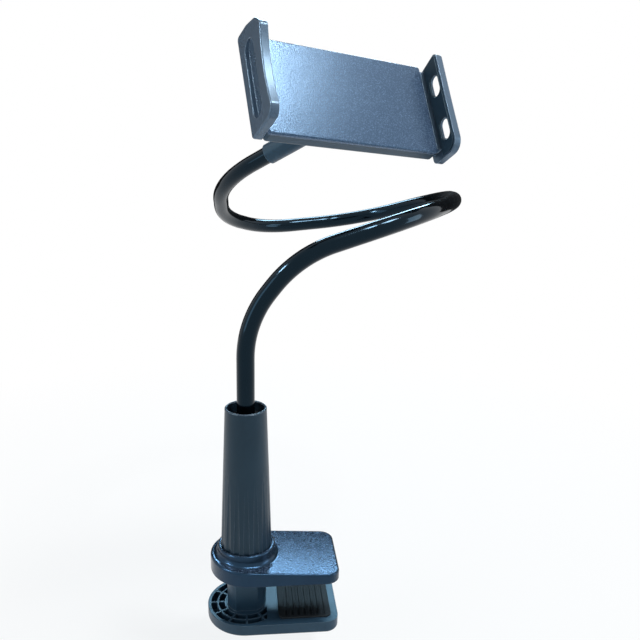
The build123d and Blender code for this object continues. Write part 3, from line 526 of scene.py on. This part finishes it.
for jaw, body, pad_place in (
    ("upper", "clamp", Matrix.Rotation(pi, 4, "X")),
    ("lower", "lower_jaw", Matrix.Translation((0, 0, -PAD_GRIP))),
):
    clamp_pad = ribbed_pad(
        f"{jaw}_clamp_pad",
        pad_place,
        length=PAD_LENGTH,
        width=PAD_WIDTH,
        thickness=PAD_THICKNESS,
        corner=PAD_CORNER,
        border=2 * MM,
        ribs=8,
        groove=0.8 * MM,
    )
    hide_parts(f"{jaw}_jaw_pad")
    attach(clamp_pad, body)

# Lead screw, its nut and the washer under the column: a turned steel screw in the column draws a
# brass nut in the lower jaw's stem up and down, and the washer takes the thrust.
TARNISH_SHADE = 0.72
TOOL_MARK_DRIFT = 0.1
TOOL_MARK_RELIEF = 0.1 * MM


def bare_metal(name, tone, roughness):
    """A bare metal with fine tool marks."""
    material = bpy.data.materials.new(name)
    material.use_nodes = True
    new_node = material.node_tree.nodes.new
    skin = material.node_tree.nodes["Principled BSDF"]
    skin.inputs["Metallic"].default_value = 1
    coords = new_node("ShaderNodeTexCoord")
    marks = new_node("ShaderNodeTexNoise")
    marks.inputs["Scale"].default_value = 1500
    marks.inputs["Detail"].default_value = 2
    tarnish = new_node("ShaderNodeTexNoise")
    tarnish.inputs["Scale"].default_value = 90
    tarnish.inputs["Detail"].default_value = 5
    paint = new_node("ShaderNodeMix")
    paint.data_type = "RGBA"
    paint.inputs["A"].default_value = (*tone, 1)
    paint.inputs["B"].default_value = (*[TARNISH_SHADE * part for part in tone], 1)
    polish = new_node("ShaderNodeMapRange")
    polish.inputs["To Min"].default_value = roughness - TOOL_MARK_DRIFT
    polish.inputs["To Max"].default_value = roughness + TOOL_MARK_DRIFT
    bump = new_node("ShaderNodeBump")
    bump.inputs["Strength"].default_value = 0.06
    bump.inputs["Distance"].default_value = TOOL_MARK_RELIEF
    for start, end in (
        (coords.outputs["Object"], marks.inputs["Vector"]),
        (coords.outputs["Object"], tarnish.inputs["Vector"]),
        (tarnish.outputs["Fac"], paint.inputs["Factor"]),
        (paint.outputs["Result"], skin.inputs["Base Color"]),
        (marks.outputs["Fac"], polish.inputs["Value"]),
        (polish.outputs["Result"], skin.inputs["Roughness"]),
        (marks.outputs["Fac"], bump.inputs["Height"]),
        (bump.outputs["Normal"], skin.inputs["Normal"]),
    ):
        material.node_tree.links.new(start, end)
    return material


bright_steel = bare_metal("bright_steel", (0.56, 0.57, 0.59), 0.3)
dress(bright_steel, "lead_screw", "thrust_washer")
dress(bare_metal("turned_brass", (0.75, 0.55, 0.22), 0.3), "lead_nut")

# Column: a tapered slate moulding with flutes for the hand, which is turned to close the clamp.
# It stands in the upper jaw's collar.
# Its very pale edge colour is mostly a painted highlight along the mouth's rim and the other edges, with some
# wear.
column_skin = moulding(
    "column_skin",
    tone=(0.010, 0.026, 0.045),
    shade=(0.007, 0.020, 0.036),
    rubbed_and_lit=(0.450, 0.500, 0.640),
    roughness=0.36,
    gloss=0.4,
    sheen=(0.6, 0.85, 1.0),
    grain_size=900,
    grain_depth=0.25,
)
dress(column_skin, "column")

# Bush and plug: black mouldings in the column's mouth. The plug is crimped on the neck's foot and
# turns in the bush, which is pressed into the column.
black_moulding = moulding(
    "black_moulding",
    tone=(0.008, 0.010, 0.013),
    shade=(0.006, 0.007, 0.009),
    rubbed_and_lit=(0.024, 0.028, 0.034),
    roughness=0.5,
    gloss=0.25,
    sheen=(1.0, 1.0, 1.0),
    grain_size=1200,
    grain_depth=0.15,
)
dress(black_moulding, "socket_bush", "neck_plug")

# Gooseneck rod: soft aluminium wire that stays as it is bent, pressed into the plug and the ball's
# socket. It comes in lengths between the bending places.
NECK_LENGTHS = 7
soft_alloy = bare_metal("soft_alloy", (0.72, 0.73, 0.75), 0.4)
dress(soft_alloy, *[f"neck_core_{number}" for number in range(1, NECK_LENGTHS + 1)])

# Gooseneck sleeve: smooth gloss-black soft plastic drawn over the rod. It is made here in lengths
# that meet where the neck keeps its shape, each drawn along the route round its corners.
NECK_RADIUS = 5.98 * MM
RING_POINTS = 40
RING_STEP = 3 * MM
BEND_SHARE = 0.45
NECK_END_GAP = 26 * MM
WELD_GAP = 0.001 * MM
SLEEVE_CREASE = radians(50)
RIPPLE_RELIEF = 0.6 * MM
neck_black = bpy.data.materials.new("neck_black")
neck_black.use_nodes = True
skin = neck_black.node_tree.nodes["Principled BSDF"]
skin.inputs["Specular IOR Level"].default_value = 0.3
skin.inputs["Specular Tint"].default_value = (0.34, 0.68, 1, 1)
coords = neck_black.node_tree.nodes.new("ShaderNodeTexCoord")
ripple = neck_black.node_tree.nodes.new("ShaderNodeTexNoise")
ripple.inputs["Scale"].default_value = 55
ripple.inputs["Detail"].default_value = 3
paint = neck_black.node_tree.nodes.new("ShaderNodeMix")
paint.data_type = "RGBA"
paint.inputs["A"].default_value = (0.0005, 0.0012, 0.002, 1)
paint.inputs["B"].default_value = (0.0012, 0.0025, 0.004, 1)
bump = neck_black.node_tree.nodes.new("ShaderNodeBump")
bump.inputs["Strength"].default_value = 0.05
bump.inputs["Distance"].default_value = RIPPLE_RELIEF
polish = neck_black.node_tree.nodes.new("ShaderNodeMapRange")
polish.inputs["To Min"].default_value = 0.07
polish.inputs["To Max"].default_value = 0.13
for start, end in (
    (coords.outputs["Object"], ripple.inputs["Vector"]),
    (ripple.outputs["Fac"], paint.inputs["Factor"]),
    (paint.outputs["Result"], skin.inputs["Base Color"]),
    (ripple.outputs["Fac"], bump.inputs["Height"]),
    (bump.outputs["Normal"], skin.inputs["Normal"]),
    (ripple.outputs["Fac"], polish.inputs["Value"]),
    (polish.outputs["Result"], skin.inputs["Roughness"]),
):
    neck_black.node_tree.links.new(start, end)

route = [
    Vector(corner) * MM
    for corner in (
        (-40, 0, 112), (-40, 0, 177), (-7, -1, 220), (71, 12, 244), (122, 90, 248), (139, 188, 243),
        (71, 252, 215), (-22, 223, 209), (-59, 175, 224), (-59, 106, 258), (19, 49, 305),
    )
]
headings = [(end - start).normalized() for start, end in zip(route, route[1:])]
bend_starts = [0] + [
    BEND_SHARE * min((route[k] - route[k - 1]).length, (route[k + 1] - route[k]).length)
    for k in range(1, len(route) - 1)
] + [NECK_END_GAP]


def run_point(run, share):
    """A place on the straight that the bends leave on a run of the route."""
    start = route[run] + headings[run] * bend_starts[run]
    end = route[run + 1] - headings[run] * bend_starts[run + 1]
    return start.lerp(end, share)


def bend_arc(corner):
    """Angle, radius, axis, start and centre of the arc that rounds a corner of the route."""
    turn = headings[corner - 1].angle(headings[corner])
    radius = bend_starts[corner] / tan(turn / 2)
    axis = headings[corner - 1].cross(headings[corner]).normalized()
    start = route[corner] - headings[corner - 1] * bend_starts[corner]
    return turn, radius, axis, start, start + axis.cross(headings[corner - 1]) * radius


def draw_straight(run, first, last):
    """Draw the selected end of the sleeve along part of a run."""
    stretch = run_point(run, last) - run_point(run, first)
    count = max(2, round(stretch.length / RING_STEP))
    for _ in range(count):
        bpy.ops.mesh.extrude_region_move(TRANSFORM_OT_translate={"value": stretch / count})


def draw_bend(corner, first, last):
    """Turn the selected end of the sleeve round part of a bend."""
    turn, radius, axis, _, centre = bend_arc(corner)
    angle = turn * (last - first)
    bpy.ops.mesh.spin(
        steps=max(3, round(radius * angle / RING_STEP)), angle=-angle, center=centre, axis=axis
    )


def sleeve_start(draw, number, share):
    """Where a length of the sleeve starts, and which way it heads."""
    if draw is draw_straight:
        return run_point(number, share), headings[number]
    turn, _, axis, start, centre = bend_arc(number)
    swing = Matrix.Rotation(turn * share, 3, axis)
    return centre + swing @ (start - centre), swing @ headings[number - 1]


# Each row has the run that bends, the CAD lengths that it stands for, and the steps that draw it: a
# straight or a bend, its number on the route, and the shares at which to start and end.
sleeve_lengths = (
    (0, ("neck_sleeve_1",), (
        (draw_straight, 0, 0, 1), (draw_bend, 1, 0, 1), (draw_straight, 1, 0, 0.5))),
    (2, ("neck_sleeve_2",), (
        (draw_straight, 1, 0.5, 1), (draw_bend, 2, 0, 1), (draw_straight, 2, 0, 1), (draw_bend, 3, 0, 0.5))),
    (3, ("neck_sleeve_3",), (
        (draw_bend, 3, 0.5, 1), (draw_straight, 3, 0, 1), (draw_bend, 4, 0, 1), (draw_straight, 4, 0, 0.5))),
    (5, ("neck_sleeve_4",), (
        (draw_straight, 4, 0.5, 1), (draw_bend, 5, 0, 1), (draw_straight, 5, 0, 1), (draw_bend, 6, 0, 0.5))),
    (6, ("neck_sleeve_5",), (
        (draw_bend, 6, 0.5, 1), (draw_straight, 6, 0, 1), (draw_bend, 7, 0, 1), (draw_straight, 7, 0, 0.5))),
    (8, ("neck_sleeve_6", "neck_sleeve_7"), (
        (draw_straight, 7, 0.5, 1), (draw_bend, 8, 0, 1), (draw_straight, 8, 0, 1), (draw_bend, 9, 0, 1),
        (draw_straight, 9, 0, 1))),
)
for number, (bend_run, stands_for, steps) in enumerate(sleeve_lengths, start=1):
    start, heading = sleeve_start(*steps[0][:3])
    bpy.ops.object.select_all(action="DESELECT")
    bpy.ops.mesh.primitive_circle_add(
        vertices=RING_POINTS,
        radius=NECK_RADIUS,
        fill_type="NGON",
        location=start,
        rotation=heading.to_track_quat("Z", "Y").to_euler(),
    )
    sleeve = bpy.context.object
    sleeve.name = f"neck_tube_{number}"
    bpy.ops.object.transform_apply(location=True, rotation=True, scale=True)
    bpy.ops.object.mode_set(mode="EDIT")
    bpy.ops.mesh.select_all(action="SELECT")
    for draw, place_number, first, last in steps:
        draw(place_number, first, last)
    bpy.ops.mesh.select_all(action="SELECT")
    bpy.ops.mesh.remove_doubles(threshold=WELD_GAP)
    bpy.ops.mesh.normals_make_consistent(inside=False)
    bpy.ops.object.mode_set(mode="OBJECT")
    bpy.ops.object.shade_smooth_by_angle(angle=SLEEVE_CREASE)
    sleeve.data.materials.append(neck_black)
    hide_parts(*stands_for)
    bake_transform(sleeve)

# Ball joint: a slate socket and ribbed lock nut on the neck's end, with a black seat inside. They
# pinch the ball of a black stud, which a steel screw and washer hold to the cradle's back.
dress(slate_moulding, "ball_socket", "lock_nut")
dress(black_moulding, "ball_seat", "ball_stud")
dress(bright_steel, "stud_screw", "stud_washer")

# Cradle's shell: a shallow slate box with a rounded back, open to the front. The cradle's own
# frame has X along its width, Y up its height and Z out of the middle of its face.
jaw_slide = [joint for joint in frame["joints"] if joint["name"] == "jaw_slide"][0]
phone_face = [mount for mount in frame["record"]["mounts"] if mount["name"] == "phone_back_face"][0]
cradle_x = Vector(jaw_slide["axis"]).normalized()
cradle_z = Vector(phone_face["axis"]).normalized()
cradle_y = cradle_z.cross(cradle_x).normalized()
cradle_turn = Matrix((cradle_x, cradle_y, cradle_z)).transposed().to_4x4()
cradle_place = Matrix.Translation(phone_face["pos_m"]) @ cradle_turn
dress(slate_moulding, "back_shell")

# Front plate: the lid of the shell and the phone's rest. The same plastic, with a blasted skin;
# its blue glints are painted in as pale specks, and its pale edges are painted highlights as well as wear.
plate_skin = moulding(
    "plate_skin",
    tone=(0.035, 0.062, 0.115),
    shade=(0.030, 0.054, 0.102),
    rubbed_and_lit=(0.320, 0.420, 0.580),
    roughness=0.235,
    gloss=0.9,
    sheen=(0.36, 0.65, 1.0),
    grain_size=1100,
    grain_depth=0.4,
    painted_glints=0.35,
)
dress(plate_skin, "front_plate")

# Cover screws: four small steel screws with cross recesses that hold the plate from behind, their
# heads sunk in the shell's back.
SCREW_HEAD_RADIUS = 2.6 * MM
SCREW_HEAD_HEIGHT = 1.3 * MM
SCREW_SHANK_RADIUS = 1.4 * MM
SCREW_SHANK_LENGTH = 6.2 * MM
SCREW_HEAD_EASING = 0.35 * MM
SCREW_ACROSS = 56 * MM
SCREW_UP = 28.4 * MM
SHELL_DEPTH = 11 * MM
RECESS_SIZE = (2.8 * MM, 0.6 * MM, 1.8 * MM)
RECESS_TAPER = 0.45
SCREW_SIDES = 40
SCREW_CREASE = radians(35)
SPIN_ACROSS = 0.5  # with the next, the angle at which each screw came to rest
SPIN_UP = 0.9
bpy.ops.object.select_all(action="DESELECT")
bpy.ops.mesh.primitive_cylinder_add(
    vertices=SCREW_SIDES,
    radius=SCREW_HEAD_RADIUS,
    depth=SCREW_HEAD_HEIGHT,
    location=(0, 0, -SCREW_HEAD_HEIGHT / 2),
)
cover_screw = bpy.context.object
cover_screw.name = "cover_screw"
bpy.ops.object.transform_apply(location=True, rotation=True, scale=True)
choose_faces(cover_screw, lambda face: face.normal.z < -FLAT)
bpy.ops.mesh.inset(thickness=SCREW_HEAD_RADIUS - SCREW_SHANK_RADIUS)
bpy.ops.mesh.extrude_region_move(
    TRANSFORM_OT_translate={"value": (0, 0, SCREW_HEAD_HEIGHT - SCREW_SHANK_LENGTH)}
)
choose_edges(cover_screw, lambda a, b: min(a.z, b.z) > -SCREW_HEAD_EASING)
bpy.ops.mesh.bevel(offset=SCREW_HEAD_EASING, segments=3)
bpy.ops.object.mode_set(mode="OBJECT")
for quarter in (0, pi / 2):
    bpy.ops.object.select_all(action="DESELECT")
    bpy.ops.mesh.primitive_cube_add(size=1, scale=RECESS_SIZE, rotation=(0, 0, quarter))
    driver_blade = bpy.context.object
    bpy.ops.object.transform_apply(location=True, rotation=True, scale=True)
    choose_faces(driver_blade, lambda face: face.normal.z < -FLAT)
    bpy.ops.transform.resize(value=(RECESS_TAPER, RECESS_TAPER, 1))
    bpy.ops.object.mode_set(mode="OBJECT")
    bpy.context.view_layer.objects.active = cover_screw
    recess = cover_screw.modifiers.new("cross_recess", "BOOLEAN")
    recess.operation = "DIFFERENCE"
    recess.object = driver_blade
    bpy.ops.object.modifier_apply(modifier=recess.name)
    bpy.data.objects.remove(driver_blade)
cover_screw.data.materials.append(bright_steel)
bpy.ops.object.select_all(action="DESELECT")
screw_copies = []
for across in (-1, 1):
    for up in (-1, 1):
        screw_copy = cover_screw.copy()
        screw_copy.data = cover_screw.data.copy()
        bpy.context.collection.objects.link(screw_copy)
        spot = Matrix.Translation((across * SCREW_ACROSS, up * SCREW_UP, -SHELL_DEPTH))
        spin = Matrix.Rotation(SPIN_ACROSS * across + SPIN_UP * up, 4, "Z")
        set_in_place(screw_copy, cradle_place @ spot @ Matrix.Rotation(pi, 4, "X") @ spin)
        screw_copies.append(screw_copy)
bpy.data.objects.remove(cover_screw)
for screw_copy in screw_copies:
    screw_copy.select_set(True)
bpy.context.view_layer.objects.active = screw_copies[0]
bpy.ops.object.join()
screw_set = bpy.context.object
screw_set.name = "cover_screw_set"
bpy.ops.object.shade_smooth_by_angle(angle=SCREW_CREASE)
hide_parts("cover_screws")
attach(screw_set, "cradle")

# Fixed jaw: a slate wall on the shell's left end with a scoop for the finger, held by two steel
# screws from inside the shell.
# Both jaws use a slate painted lighter than the column's same plastic, standing in for the light that falls on
# them; their very pale edge colour is a painted highlight as well as wear.
jaw_slate_painted_lighter = moulding(
    "jaw_slate_painted_lighter",
    tone=(0.075, 0.110, 0.160),
    shade=(0.062, 0.094, 0.138),
    rubbed_and_lit=(0.520, 0.620, 0.740),
    roughness=0.28,
    gloss=0.9,
    sheen=(0.45, 0.72, 1.0),
    grain_size=1100,
    grain_depth=0.12,
)
dress(jaw_slate_painted_lighter, "fixed_jaw")
dress(bright_steel, "jaw_screws")

# Fixed jaw's lining: a thin black rubber strip with fine cross ribs, cut to the jaw's inner face
# and glued there, so that the phone's end doesn't slide.
HALF_WIDTH = 62 * MM
LINING = 0.9 * MM
LINING_LENGTH = 52 * MM
LINING_WIDTH = 12.6 * MM
LINING_CORNER = 2.5 * MM
lining_spot = Vector((LINING - HALF_WIDTH, 0.5 * MM, 6.6 * MM))
jaw_turn = Matrix((cradle_y, cradle_z, cradle_x)).transposed().to_4x4()
left_lining = ribbed_pad(
    "left_jaw_lining",
    Matrix.Translation(cradle_place @ lining_spot) @ jaw_turn,
    length=LINING_LENGTH,
    width=LINING_WIDTH,
    thickness=LINING,
    corner=LINING_CORNER,
    border=1.2 * MM,
    ribs=16,
    groove=0.4 * MM,
)
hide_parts("fixed_jaw_lining")
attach(left_lining, "cradle")

# Sliding jaw: a slate wall with a tongue that runs inside the shell, moulded in one, with two oval
# holes through it. Its black rubber lining is glued on and has a raised rim round each hole.
JAW_GAP = 4 * MM
HOLE_LENGTH = 15.5 * MM
HOLE_WIDTH = 8.8 * MM
HOLE_HEIGHTS = (13.7 * MM, -19.2 * MM)
HOLE_REACH = 7.6 * MM
RIM_RADIUS = 0.4 * MM
# The sliding jaw gets the same lighter-painted slate, with painted edge highlights.
dress(jaw_slate_painted_lighter, "sliding_jaw")
lining_rubber = moulding(
    "lining_rubber",
    tone=(0.013, 0.034, 0.056),
    shade=(0.010, 0.027, 0.045),
    rubbed_and_lit=(0.050, 0.075, 0.100),
    roughness=0.45,
    gloss=0.3,
    sheen=(0.6, 0.85, 1.0),
    grain_size=800,
    grain_depth=0.25,
)
dress(lining_rubber, "sliding_jaw_lining")
hole_rims = []
for hole_height in HOLE_HEIGHTS:
    bpy.ops.object.select_all(action="DESELECT")
    bpy.ops.mesh.primitive_torus_add(
        major_radius=HOLE_WIDTH / 2 + RIM_RADIUS,
        minor_radius=RIM_RADIUS,
        major_segments=48,
        minor_segments=12,
    )
    rim = bpy.context.object
    for end in (-1, 1):
        choose_faces(rim, lambda face: face.center.x * end > 0)
        bpy.ops.transform.translate(value=(end * (HOLE_LENGTH - HOLE_WIDTH) / 2, 0, 0))
        bpy.ops.object.mode_set(mode="OBJECT")
    rim_spot = Vector((HALF_WIDTH + JAW_GAP - LINING, hole_height, HOLE_REACH))
    set_in_place(rim, Matrix.Translation(cradle_place @ rim_spot) @ jaw_turn)
    hole_rims.append(rim)
bpy.ops.object.select_all(action="DESELECT")
for rim in hole_rims:
    rim.select_set(True)
bpy.context.view_layer.objects.active = hole_rims[0]
bpy.ops.object.join()
lining_rims = bpy.context.object
lining_rims.name = "right_lining_rims"
bpy.ops.object.shade_smooth()
lining_rims.data.materials.append(lining_rubber)
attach(lining_rims, "sliding_jaw")

# Spring rods and return springs: two bright steel rods along the shell, each in a coil spring that
# is pressed together as the sliding jaw is pulled out, and pushes it back in.
SPRING_LEFT = -46.9 * MM
SPRING_RIGHT = 59.7 * MM
SPRING_HEIGHT = 22.5 * MM
SPRING_DEPTH = -5.5 * MM
WIRE_RADIUS = 0.4 * MM
COIL_RADIUS = 1.95 * MM
COIL_TURNS = 34
WIRE_SIDES = 8
STEPS_A_TURN = 16
COIL_CREASE = radians(50)
dress(bright_steel, "spring_rod_upper", "spring_rod_lower")
for side, spring_name in ((1, "upper"), (-1, "lower")):
    bpy.ops.object.select_all(action="DESELECT")
    bpy.ops.mesh.primitive_circle_add(
        vertices=WIRE_SIDES,
        radius=WIRE_RADIUS,
        location=(COIL_RADIUS, 0, WIRE_RADIUS),
        rotation=(pi / 2, 0, 0),
    )
    coil = bpy.context.object
    coil.name = f"{spring_name}_coil_spring"
    bpy.ops.object.transform_apply(location=True, rotation=True, scale=True)
    winding = coil.modifiers.new("winding", "SCREW")
    winding.screw_offset = (SPRING_RIGHT - SPRING_LEFT - 2 * WIRE_RADIUS) / COIL_TURNS
    winding.iterations = COIL_TURNS
    winding.steps = STEPS_A_TURN
    winding.render_steps = STEPS_A_TURN
    bpy.ops.object.modifier_apply(modifier=winding.name)
    bpy.ops.object.mode_set(mode="EDIT")
    bpy.ops.mesh.select_all(action="SELECT")
    bpy.ops.mesh.fill_holes(sides=0)
    bpy.ops.mesh.select_all(action="SELECT")
    bpy.ops.mesh.normals_make_consistent(inside=False)
    spring_spot = Vector((SPRING_LEFT, side * SPRING_HEIGHT, SPRING_DEPTH))
    set_in_place(coil, Matrix.Translation(cradle_place @ spring_spot) @ jaw_turn)
    bpy.ops.object.shade_smooth_by_angle(angle=COIL_CREASE)
    coil.data.materials.append(bright_steel)
    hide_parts(f"jaw_spring_{spring_name}")
    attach(coil, "cradle")
    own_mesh(coil)
